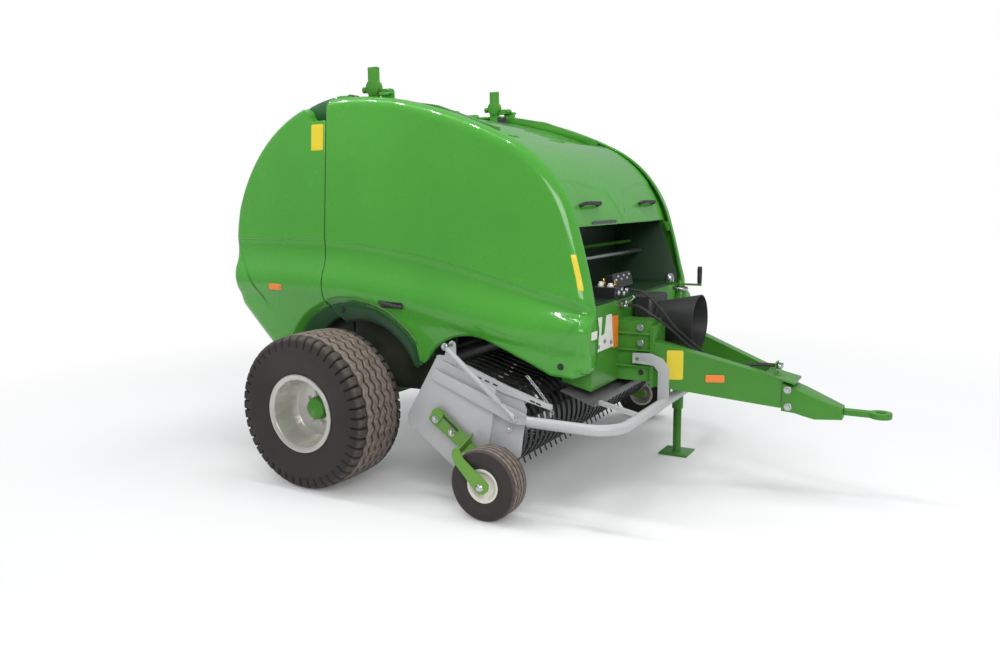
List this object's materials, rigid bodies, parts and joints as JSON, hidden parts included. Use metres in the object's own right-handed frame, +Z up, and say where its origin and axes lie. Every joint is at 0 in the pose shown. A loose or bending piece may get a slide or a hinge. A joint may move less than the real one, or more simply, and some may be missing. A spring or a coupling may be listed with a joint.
{
  "type": "round baler",
  "caption": "Trailed round baler with swept side covers, a lifting tailgate, a tined pickup on gauge wheels, a wind guard and a drawbar with a parking jack.",
  "frame": {"origin": "on the ground, in the middle of the machine's length and width", "axes": "+X forward to the hitch, +Y to the left, +Z up"},
  "size_m": [3.7572, 2.55, 2.333],
  "materials": {
    "green_paint": "gloss machine paint",
    "light_green_paint": "gloss panel paint",
    "dark_green_paint": "semi-matt inner paint",
    "lime_paint": "gloss paint",
    "grey_paint": "light grey satin paint",
    "black_steel": "black paint",
    "dark_sheet": "dark grey sheet",
    "dark_plastic": "moulded black plastic",
    "rubber": "matt rubber",
    "rim_paint": "silver wheel paint",
    "cream_paint": "cream wheel paint",
    "bright_steel": "machined steel"
  },
  "bodies": {
    "chassis": {"chamber_walls": "green_paint", "axle_beam": "green_paint", "chamber_rollers": "black_steel", "roof_deck": "light_green_paint", "tension_rail_left": "green_paint", "tension_rail_right": "green_paint", "roof_post_left": "green_paint", "roof_post_right": "green_paint", "hinge_brackets": "green_paint", "net_compartment": "dark_green_paint", "front_frame": "green_paint", "gearbox": "black_steel", "pto_guard": "dark_plastic", "drawbar": "green_paint", "hitch_adapter": "green_paint", "hitch_eye": "green_paint", "jack_sleeve": "green_paint"},
    "tailgate": {"tailgate_frame": "green_paint", "tailgate_cover_left": "light_green_paint", "tailgate_cover_right": "light_green_paint", "tailgate_back": "green_paint", "tailgate_rollers": "black_steel"},
    "cover_left": {"cover_left": "light_green_paint"},
    "cover_right": {"cover_right": "light_green_paint"},
    "hood": {"hood": "light_green_paint"},
    "wheel_left": {"tyre_left": "rubber", "rim_left": "rim_paint", "hub_left": "green_paint"},
    "wheel_right": {"tyre_right": "rubber", "rim_right": "rim_paint", "hub_right": "green_paint"},
    "pickup": {"pickup_frame": "grey_paint", "stripper_bands": "black_steel", "gauge_bracket_left": "lime_paint", "gauge_bracket_right": "lime_paint"},
    "pickup_reel": {"pickup_reel": "black_steel"},
    "gauge_wheel_left": {"gauge_tyre_left": "rubber", "gauge_rim_left": "cream_paint"},
    "gauge_wheel_right": {"gauge_tyre_right": "rubber", "gauge_rim_right": "cream_paint"},
    "wind_guard": {"wind_guard": "grey_paint", "deflector_plate": "dark_sheet"},
    "jack_leg": {"jack_leg": "green_paint"},
    "pto_shaft": {"pto_shaft": "bright_steel"}
  },
  "joints": [
    {"name": "wheel_left_spin", "type": "hinge", "parent": "chassis", "child": "wheel_left", "pos_m": [-0.993, 1.075, 0.437], "axis": [0, 1, 0], "continuous": true},
    {"name": "wheel_right_spin", "type": "hinge", "parent": "chassis", "child": "wheel_right", "pos_m": [-0.993, -1.075, 0.437], "axis": [0, 1, 0], "continuous": true},
    {"name": "tailgate_lift", "type": "hinge", "parent": "chassis", "child": "tailgate", "pos_m": [-1.093, 0, 2.185], "axis": [0, 1, 0], "range_deg": [0, 60]},
    {"name": "cover_left_lift", "type": "hinge", "parent": "chassis", "child": "cover_left", "pos_m": [-0.393, 0.72, 2.18], "axis": [1, 0, 0], "range_deg": [0, 55]},
    {"name": "cover_right_lift", "type": "hinge", "parent": "chassis", "child": "cover_right", "pos_m": [-0.393, -0.72, 2.18], "axis": [-1, 0, 0], "range_deg": [0, 55]},
    {"name": "hood_lift", "type": "hinge", "parent": "chassis", "child": "hood", "pos_m": [0.002, 0, 1.918], "axis": [0, -1, 0], "range_deg": [0, 65]},
    {"name": "pickup_lift", "type": "hinge", "parent": "chassis", "child": "pickup", "pos_m": [-0.333, 0, 0.6], "axis": [0, -1, 0], "range_deg": [0, 10]},
    {"name": "reel_spin", "type": "hinge", "parent": "pickup", "child": "pickup_reel", "pos_m": [0.027, 0, 0.4], "axis": [0, 1, 0], "continuous": true},
    {"name": "gauge_wheel_left_spin", "type": "hinge", "parent": "pickup", "child": "gauge_wheel_left", "pos_m": [0.137, 1.133, 0.185], "axis": [0, 1, 0], "continuous": true},
    {"name": "gauge_wheel_right_spin", "type": "hinge", "parent": "pickup", "child": "gauge_wheel_right", "pos_m": [0.137, -1.133, 0.185], "axis": [0, 1, 0], "continuous": true},
    {"name": "wind_guard_float", "type": "hinge", "parent": "chassis", "child": "wind_guard", "pos_m": [0.634, 0, 0.731], "axis": [0, -1, 0], "range_deg": [0, 8]},
    {"name": "jack_slide", "type": "slide", "parent": "chassis", "child": "jack_leg", "axis": [0, 0, 1], "range_m": [0, 0.25]},
    {"name": "pto_spin", "type": "hinge", "parent": "chassis", "child": "pto_shaft", "pos_m": [0.707, 0, 0.895], "axis": [1, 0, 0], "continuous": true}
  ]
}
